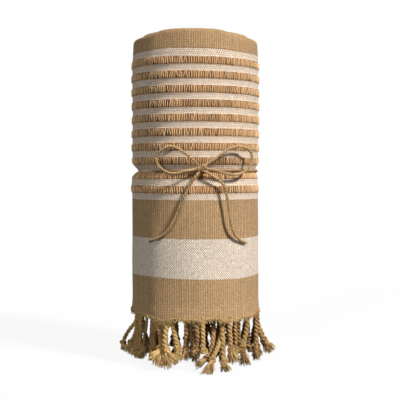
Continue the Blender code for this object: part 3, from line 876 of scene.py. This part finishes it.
def packet_section(turns, ups, skip_outer=False):
    """Rows through all eight layers over those turns: offset, height and place along the cloth."""
    top = rim_top(turns) - FOLD_RISE
    layer_run = TOWEL_LENGTH / LAYERS
    rows = []
    before = 0.0
    for number, layer in enumerate(LAYER_ORDER):
        going_up = number % 2 == 0
        last = number == LAYERS - 1
        start = number * layer_run
        offset = layer_offset(layer)
        half = 0.0 if last else (offset - layer_offset(LAYER_ORDER[number + 1])) / 2
        after = math.pi / 2 * abs(half)
        low = HEM_Z + 0.0004 * layer
        if layer > 1:
            low = HEM_Z + 0.0014 + 0.0006 * (3.5 - abs(layer - 3.5))
        for up in ups if going_up else ups[::-1]:
            done = up if going_up else 1 - up
            along = start + before + (layer_run - before - after) * done
            if last:
                along = TOWEL_LENGTH - (low + (top[-1] - low) * up - HEM_Z)
            rows.append((offset, low + (top - low) * up, along))
        for turned in () if last else FOLD_ANGLES:
            swing = math.sin(turned) * abs(half) / SKIN
            height = top + FOLD_RISE * swing if going_up else low - HEM_FOLD_DROP * swing
            along = start + layer_run + (2 * turned / math.pi - 1) * after
            rows.append((offset - half * (1 - math.cos(turned)), height, along))
        before = after
    if skip_outer:
        rows = rows[len(ups) + len(FOLD_ANGLES) :]
    offset, z, along = zip(*rows)
    z = np.stack([np.broadcast_to(height, turns.shape) for height in z])
    return np.array(offset)[:, None], z, np.array(along)[:, None]


def inner_grid(pile, turns, skip_outer):
    """The layers over those turns, pressed by the tie where the outermost is left to the outer wrap."""
    ups = np.array(LAYER_ROWS)
    if skip_outer:
        straight = TOP_Z - FOLD_RISE - WRAP_SIDE_DROP - HEM_Z
        ups = np.union1d(ups, (PINCH_Z - HEM_Z + np.array(TIE_ROWS) * MM) / straight)
    offset, z, along = packet_section(turns, ups, skip_outer)
    turns = turns + selvedge_shift(turns, offset)
    if skip_outer:
        radius = skin_radius(turns, z, offset) - 0.00025 * (offset > 0)
    else:
        radius = middle_radius(turns) + offset
    pile.grid(place(turns, radius, z), stacked(arc_length(turns, 0.0), along))


def build_inner_turns(cloth):
    """All eight layers of the inner turns, and the seven under the outer wrap in the last turn."""
    core, middle, last = INNER_COLUMNS
    inner = (np.linspace(0, CORE_TURNS, core), np.linspace(CORE_TURNS, TURNS - 1.0, middle)[1:])
    pile = Pile()
    inner_grid(pile, np.concatenate(inner), False)
    inner_grid(pile, np.linspace(TURNS - 1.0, TURNS, last), True)
    made = pile.object("towel_inner_turns", cloth, "towel_cloth", "towel_roll")


def build_selvedge(cloth):
    """The woven edge at the loose end, up and down through all eight layers."""
    offset, z, along = packet_section(np.array((TURNS,)), np.linspace(0, 1, SELVEDGE_ROWS))
    turn = TURNS + selvedge_shift(TURNS, offset)
    path = place(turn, skin_radius(turn, z, offset), z)[:, 0]
    _, side, up = frames(path)
    turned = np.arange(SELVEDGE_SIDES) / SELVEDGE_SIDES * TURN
    points = path[:, None] + ring(turned, side[:, None], up[:, None]) * EDGE_HALF
    pile = Pile().grid(points, stacked(turned * EDGE_HALF, along), closed=True)
    pile.object("towel_selvedge", cloth, "towel_cloth", "towel_roll")


def build_floats(material):
    """Pairs of warp yarns floating over each ribbed stripe, uneven in length, slant and shade."""
    chance = np.random.default_rng(SEEDS["floats"])
    start, end = TURNS + FLOAT_SPAN[0], TURNS + FLOAT_SPAN[1]
    count = round((arc_length(end, SKIN) - arc_length(start, SKIN)) / FLOAT_PITCH)
    shape = (STRIPE_COUNT, count, 1, 1)
    centre = np.linspace(start, end, count)[:, None, None]
    offset = np.where(centre < TURNS - 0.004, SKIN, SKIN - LAYER_GAP)
    middle_z = TOP_STRIPE_Z - np.arange(STRIPE_COUNT)[:, None, None, None] * STRIPE_PITCH
    half_tall = STRIPE_HEIGHT / 2 * chance.uniform(0.76, 1.14, shape)
    half_wide = chance.uniform(0.00031, 0.00050, shape)
    every_other = (-1.0) ** np.arange(count)[:, None, None]
    slant = chance.normal(0.0, 0.00024, shape) + every_other * chance.uniform(-0.10, 0.34, shape) * MM
    bow, wave, wander = (chance.normal(0.0, size, shape) for size in (0.00022, 0.00011, 0.00014))
    up = np.linspace(-1, 1, FLOAT_ROWS)[:, None]
    turned = np.linspace(-1, 1, FLOAT_COLUMNS)
    narrowing = np.sqrt(np.clip(1.05 - up**4, 0, 1))
    aside = wander + slant * up + bow * up**2 + wave * np.sin(4 * up) + half_wide * turned * narrowing
    proud = FLOAT_PROUD * np.sqrt(np.clip(1 - turned**2, 0, 1)) * np.clip(1.1 - up**4, 0, 1)
    z = middle_z + half_tall * up + 0 * turned + chance.normal(0, 0.00024, shape)
    turn = centre + aside / (TURN * (CORE_RADIUS + PACKET * centre + SKIN))
    turn = turn + selvedge_shift(turn, SKIN)
    radius = skin_radius(turn, z, offset) + proud - 0.00012
    shade = np.clip(chance.normal(0.80, 0.26, shape), 0, 1) * np.ones_like(z)
    pile = Pile().grid(place(turn, radius, z - sag(angle_at(turn), z)), shade=shade.ravel())
    pile.object("towel_rib_floats", material, "towel_cloth", "towel_roll")


# ---- The fringe ----


def strand_plan():
    """Each strand: its turn, lean out and sideways, knot height and bend."""
    chance = random.Random(STRAND_SEED)
    plan = []
    for number in range(RIM_STRANDS):
        turn = TURNS - 1.0 + (number + 0.5) / RIM_STRANDS
        out = chance.uniform(0.5, 5.0) if number % 2 == 0 else -chance.uniform(4.0, 9.0)
        side = chance.uniform(-1.6, 1.6)
        knot = chance.uniform(6.5, 9.5)
        bend = chance.uniform(0.9, 1.6)
        out, side, knot, bend = SPLAYED.get(number, (out, side, knot, bend))
        plan.append((turn, out, side, knot, bend))
    for inwards in INNER_STRANDS:
        lean = chance.uniform(-2.0, 2.0)
        plan.append((TURNS - inwards, lean, chance.uniform(-1.5, 1.5), 7.5, 1.2))
    return plan


def plain_cord(number, strand, chance):
    """A cord of the sides and back, on the solid strand's own line."""
    turn, out, side, knot, bend = strand
    outward, sideways = directions(angle_at(turn))
    heights = np.linspace(HEM_Z - 0.001, knot * MM, 9)
    lean = np.clip((ROOT_Z - heights) / ROOT_Z, 0, 1) ** bend * MM
    way = place(turn, middle_radius(turn) + HALF_WALL - STRIP_INSET, heights)
    way += (outward * out + sideways * side) * lean[:, None]
    way[:, 0] += ASIDE.get(number, 0.0) * MM
    way[2:-1] += chance.normal(0, 0.00022, (6, 3)) * (1, 1, 0)
    tuft = (*(outward * 0.3 + chance.normal(0, 0.12, 3))[:2], -1.0)
    width = CORD_WIDTH * chance.uniform(0.9, 1.12)
    shade = chance.uniform(0.2, 0.7) * (-1 if number % 3 == 1 else 1)
    return width, shade, tuft, knot - 0.3, chance.uniform(2.4, 3.6), way


def front_cord(row):
    """A listed cord; its top goes on up under the hem."""
    way = np.array(row[-1]) * MM
    above = way[0] + (way[0] - way[1]) * 0.25
    above[2] = HEM_Z + 0.0008
    return *row[:-1], np.vstack((above, way))


def fringe_plan():
    """Every cord as (width, shade, way of the loose end, its length, its half width, points)."""
    chance = np.random.default_rng(STRAND_SEED)
    return [
        front_cord(FRONT_CORDS[number]) if number in FRONT_CORDS else plain_cord(number, strand, chance)
        for number, strand in enumerate(strand_plan())
    ]


def knot_path(centre, along, size, chance):
    """A pulled-tight overhand knot round the cord: a trefoil squeezed into a lump."""
    t = np.linspace(0, TURN, 49)[:, None]
    turned = chance.uniform(0, TURN)
    side = unit(np.cross(along, (math.cos(turned), math.sin(turned), 0.3)))
    across = (np.sin(t) + 2 * np.sin(2 * t)) * side
    over = (np.cos(t) - 2 * np.cos(2 * t)) * np.cross(along, side)
    return centre + (across + over - 1.7 * np.sin(3 * t) * along) * size


def build_fringe(cord, tuft, plan):
    cords, knots, ends, roots = Pile(), Pile(), Pile(), Pile()
    chance = np.random.default_rng(STRAND_SEED + 1)
    for width, shade, way_out, length, spread, points in plan:
        half = width * MM / 2
        path = smooth_route(points, CORD_STEP)
        lay = CORD_LAY * chance.uniform(0.9, 1.15) * (width / CORD_WIDTH) ** 0.5
        for ply in twist_plies(path, half * CORD_PLY_OFF, lay, chance.uniform(0, TURN)):
            cords.tube(ply, half * CORD_PLY_RADIUS, CORD_SIDES, shade, lobes=4, lobe_depth=0.05)
        down = unit(np.array(way_out))
        lump = knot_path(path[-1], down, half * KNOT_SIZE, chance)
        for ply in twist_plies(lump, half * KNOT_PLY_OFF, KNOT_LAY):
            knots.tube(ply, half * KNOT_PLY_RADIUS, KNOT_SIDES, shade)
        add_tuft(ends, path[-1], down, length * MM, spread * MM, half, shade, chance)
        add_root(roots, path, (width / CORD_WIDTH) ** 2.6, shade, chance)
    for name, pile, material in (
        ("fringe_cords", cords, cord),
        ("fringe_knots", knots, cord),
        ("fringe_tufts", ends, tuft),
        ("fringe_roots", roots, tuft),
    ):
        pile.object(name, material, "fringe_cord", "fringe")


def add_tuft(pile, end, down, length, spread, half, shade, chance):
    """Loose yarn ends that fan out below the knot; those that reach the floor lie on it."""
    side = unit(np.cross(down, (0.0, 1.0, 0.0) if abs(down[1]) < 0.8 else (1.0, 0.0, 0.0)))
    turned = chance.uniform(0, TURN, TUFT_YARNS)
    fan = np.sqrt(chance.uniform(0, 1, (TUFT_YARNS, 1, 1)))
    out = ring(turned, side, np.cross(down, side))[:, None]
    share = thread_shares(6)
    run = length * chance.uniform(0.58, 1.16, fan.shape) * (1 - 0.12 * fan**2)
    wide = out * fan * (half * 0.75 * (1 - share) + spread * share**1.25)
    wave = chance.normal(0, 1, (TUFT_YARNS, 1, 3)) * 0.0004 * share**1.5
    curl = chance.normal(0, 1, (TUFT_YARNS, 1, 3)) * 0.0003 * np.sin(share * 5.0)
    paths = end + down * run * share + wide + wave + curl * share
    paths[..., 2] = np.maximum(paths[..., 2], 0.0003)
    radii = (0.00040 - 0.00017 * share[..., 0]) * chance.uniform(0.7, 1.15, (TUFT_YARNS, 1))
    # Painted light: the loose ends are made lighter to the left of the axis and darker to the right of it.
    lift_and_painted_light = TUFT_LIGHTER - TUFT_PAINTED_LIGHT_LEFT * end[0]
    shades = chance.normal(abs(shade) + lift_and_painted_light, 0.34, TUFT_YARNS)
    pile.threads(paths, radii, np.clip(shades, 0, 1))


def add_root(pile, path, size, shade, chance):
    """Warp ends gathered out of the hem into the cord."""
    foot = path[np.searchsorted(-path[:, 2], -(HEM_Z - 0.0042 * size))]
    outward = foot[:2] - AXIS[:2]
    reach = np.linalg.norm(outward)
    turn = last_turn_at(math.atan2(outward[1], outward[0]))
    if reach < ROOTS_RIM_FROM:
        turn = turn - round((middle_radius(turn) - reach) / PACKET)
    count = round(ROOT_YARNS * size)
    half = 0.0036 * size
    spread = np.linspace(-1, 1, count) * half + chance.normal(0, 0.0003, count)
    radius = middle_radius(turn) + 0.0026
    start = place(turn + spread / (TURN * radius), radius, HEM_Z + 0.0012)[:, None]
    along = thread_shares(5) ** 0.8
    thick = 0.0011 * stacked(spread / half, 0.0, 0.0)[:, None]
    shades = np.clip(abs(shade) + chance.normal(0.1, 0.15, count), 0, 1)
    pile.threads(start * (1 - along) + (foot + thick) * along, 0.00042, shades)


# ---- The tie ----


def outer_face(turn):
    to_end = TURN * middle_radius(turn) * (TURNS - turn)
    share = np.maximum(0.0, 1.0 - to_end / END_TAPER_LENGTH)
    return middle_radius(turn) + HALF_WALL - END_TAPER_DEPTH * share**1.5


def off_the_roll(x, z, stand_off):
    """The point in front of the roll, at that x and z, that stands that far off it."""
    angle = -math.pi / 2
    for _ in range(8):
        radius = outer_face(last_turn_at(angle)) + stand_off
        angle = -math.acos(max(-1.0, min(1.0, (x - AXIS[0]) / radius)))
    return Vector((x, AXIS[1] + radius * math.sin(angle), z))


def knot_centre():
    return off_the_roll(KNOT_X, KNOT_Z, KNOT_STAND_OFF - WAIST_DEPTH / 2)


def beside_knot(degrees):
    """Where twine that leaves the knot in that direction goes under its surface."""
    turned = math.radians(degrees)
    direction = Vector((math.cos(turned), -0.18, math.sin(turned))).normalized()
    scale = math.sqrt(sum((d / h) ** 2 for d, h in zip(direction, KNOT_HALF)))
    return knot_centre() + direction * (1 / scale - KNOT_TUCK)


def twine_pile(path, shade=0.55):
    """Two jute plies twisted round each other."""
    pile = Pile()
    for ply in twist_plies(path, TWINE_PLY_OFF, TWINE_LAY):
        pile.tube(ply, TWINE_PLY_RADIUS, TWINE_SIDES, shade, lobes=3, lobe_depth=0.06)
    return pile


def hair_pile(path, chance, hairs_per_mm=1.4):
    """Short hairs that stand off the twine."""
    count = int(lengths(path)[-1] / MM * hairs_per_mm)
    along, side, up = frames(path)
    at = chance.integers(1, len(path) - 1, count)
    outward = ring(chance.uniform(0, TURN, count), side[at], up[at])
    lean = along[at] * chance.choice((-1, 1), (count, 1)) * chance.uniform(0.4, 1.6, (count, 1))
    direction = unit(outward + lean)[:, None]
    share = thread_shares(4)
    size = chance.uniform(0.3, 1.0, (count, 1, 1)) * HAIR_LENGTH
    start = (path[at] + outward * 0.0008)[:, None]
    curl = outward[:, None] * share**2 * size * chance.uniform(-0.3, 0.6, (count, 1, 1))
    paths = start + direction * share * size + curl
    shades = chance.uniform(0.5, 1.0, count)
    return Pile().threads(paths, 0.00006 - 0.00004 * share[..., 0], shades)


def fray_end(pile, path, chance):
    """The twine's cut end opens into a small brush."""
    direction = unit(path[-1] - path[-4])
    _, side, up = frames(path)
    outward = ring(chance.uniform(0, TURN, FRAY_YARNS), side[-1], up[-1])[:, None]
    share = thread_shares(4)
    size = chance.uniform(0.0012, 0.0032, (FRAY_YARNS, 1, 1))
    spread = chance.uniform(0.0, 0.5, (FRAY_YARNS, 1, 1)) * outward
    paths = path[-1] + outward * 0.0005 + (direction + spread * share) * share * size
    pile.threads(paths, 0.00013 - 0.00008 * share[..., 0], chance.uniform(0.4, 1.0, FRAY_YARNS))


def tie_route(leaves, returns, way):
    points = [beside_knot(leaves)] + [off_the_roll(x * MM, z * MM, off * MM) for x, z, off in way]
    if returns is not None:
        points.append(beside_knot(returns))
    return smooth_route([tuple(point) for point in points], TWINE_STEP)


def build_bow(jute):
    chance = np.random.default_rng(SEEDS["bow"])
    for name, (leaves, returns, way) in TIE_ROUTES.items():
        path = tie_route(leaves, returns, way)
        tail = returns is None
        hairs = hair_pile(path, chance)
        if tail:
            fray_end(hairs, path, chance)
        hair = hairs.object(name + "_hairs", jute, "jute_twine")
        made = twine_pile(path).object(name + "_twine", jute, "jute_twine", name)


def convex_outline(points):
    """The hull of points (x, y), anticlockwise."""
    ordered = sorted(points)
    hull = []
    for run in (ordered, ordered[::-1]):
        half = []
        for x, y in run:
            while len(half) > 1:
                (x0, y0), (x1, y1) = half[-2:]
                if (x1 - x0) * (y - y0) > (y1 - y0) * (x - x0):
                    break
                half.pop()
            half.append((x, y))
        hull += half[:-1]
    return hull


def waist_ring(angle):
    """Where the twine lies round the waist; at the left it sinks into the cloth."""
    sunk = 0.0020 * smooth_step(-math.cos(angle), 0.50, 0.75)
    radius = outer_face(last_turn_at(angle)) - pinch(angle, PINCH_Z) + BAND_LIFT - sunk
    return float(AXIS[0] + radius * math.cos(angle)), float(AXIS[1] + radius * math.sin(angle))


def build_band(jute):
    """The twine round the waist, pulled straight over the step at the loose end."""
    angles = [TURN * i / BAND_POINTS for i in range(BAND_POINTS)] + [END_ANGLE - 0.001]
    loop = convex_outline([waist_ring(angle) for angle in angles])
    knot = knot_centre()
    kept = [(x, y, PINCH_Z) for x, y in loop if y > 0 or abs(x - knot.x) > KNOT_HALF.x]
    kept.sort(key=lambda p: (math.atan2(p[1], p[0] - knot.x) + math.pi / 2) % TURN)
    start, finish = ((knot.x + side * BAND_INSET, knot.y + 0.0006, TIE_Z) for side in (1, -1))
    path = smooth_route([start, *kept, finish], TWINE_STEP)
    path[:, 2] += 0.0003 * np.sin(lengths(path) * 45)
    # The band's twine gets a darker shade than the bow's: painted shade, for twine lying in the pinched
    # crease.
    twine_pile(path, 0.12).object("twine_band_twine", jute, "jute_twine", "twine_band")
    hairs = hair_pile(path, np.random.default_rng(SEEDS["band"]), 1.0)
    hairs.object("twine_band_hairs", jute, "jute_twine")


def build_knot(jute):
    """The bow's centre: the twine wraps twice over the crossing and tucks under itself."""
    t = np.linspace(-0.1, 2.15, 90)
    x = (t - 1.0) * 0.0021 + 0.0004 * np.sin(t * TURN)
    z = 0.0021 * np.sin(t * TURN) + 0.0006 * (t - 1.0)
    path = np.array(knot_centre()) + stacked(x, -0.0017 * np.cos(t * TURN), z)
    twine_pile(path).object("twine_knot_twine", jute, "jute_twine", "twine_knot")
    hairs = hair_pile(path, np.random.default_rng(SEEDS["knot"]), 2.0)
    hairs.object("twine_knot_hairs", jute, "jute_twine")


# ---- Stage ----


def add_camera():
    data = bpy.data.cameras.new("photo_camera")
    data.lens = LENS_MM
    data.sensor_width = 36.0
    data.shift_y = -SHIFT_DOWN
    data.clip_start = 0.01
    camera = new_object("photo_camera", data)
    camera.location = CAMERA_AT
    camera.rotation_euler = (math.pi / 2, 0.0, 0.0)
    bpy.context.scene.camera = camera


def add_floor():
    mesh = bpy.data.meshes.new("floor")
    corners = [(x * FLOOR_HALF, y * FLOOR_HALF, 0) for x, y in ((-1, -1), (1, -1), (1, 1), (-1, 1))]
    mesh.from_pydata(corners, [], [(0, 1, 2, 3)])
    mesh.materials.append(floor_material())
    new_object("floor", mesh)


def add_lamp(name, power, softness, turned, height, colour):
    """A lamp as even as a large studio light."""
    data = bpy.data.lights.new(name, "SUN")
    data.energy = power
    data.angle = math.radians(softness)
    data.color = colour
    turned, height = math.radians(turned), math.radians(height)
    level = math.cos(height)
    towards = Vector((level * math.sin(turned), -level * math.cos(turned), math.sin(height)))
    new_object(name, data).rotation_euler = (-towards).to_track_quat("-Z", "Y").to_euler()


def add_surround():
    """White all round to look at, but on the towel only a soft fill, most of it from behind."""
    world = bpy.data.worlds.new("studio")
    world.use_nodes = True
    m = Nodes(world.node_tree)
    white = (1.0, 1.0, 1.0)
    start, end = FILL_GROWS
    y = m.node("SeparateXYZ", (m.node("TexCoord", output="Generated"),), 1)
    inputs = {"Value": y, "From Min": start, "From Max": end, "To Min": FILL_FRONT, "To Max": FILL_BACK}
    fill = m.tree.nodes["Background"]
    m.feed(fill.inputs[0], white)
    m.feed(fill.inputs[1], m.node("MapRange", inputs))
    seen = m.node("Background", (white,))
    both = m.node("MixShader", (m.node("LightPath", output="Is Camera Ray"), fill.outputs[0], seen))
    m.feed(m.tree.nodes["World Output"].inputs[0], both)
    bpy.context.scene.world = world
    bpy.context.scene.view_settings.view_transform = "Standard"


def main():
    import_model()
    add_camera()
    jute = yarn_material("jute_twine", (JUTE, JUTE_LIGHT, JUTE_RED), 4.0, 0.00012)
    build_bow(jute)
    build_band(jute)
    build_knot(jute)
    cloth = cloth_material()
    build_inner_turns(cloth)
    cords = fringe_plan()
    build_wrap(cloth, cords)
    build_selvedge(cloth)
    build_floats(float_material())
    cord = yarn_material("fringe_cord", (CORD_DARK, CORD_LIGHT, CORD_RED), 5.0, 0.00015)
    tuft = yarn_material("fringe_yarn", (TUFT_DARK, TUFT_LIGHT, TUFT_RED), 3.0, 0.00008)
    build_fringe(cord, tuft, cords)
    build_hem_fuzz(tuft)
    add_floor()
    for name, lamp in LAMPS.items():
        add_lamp(name, *lamp)
    add_surround()


main()
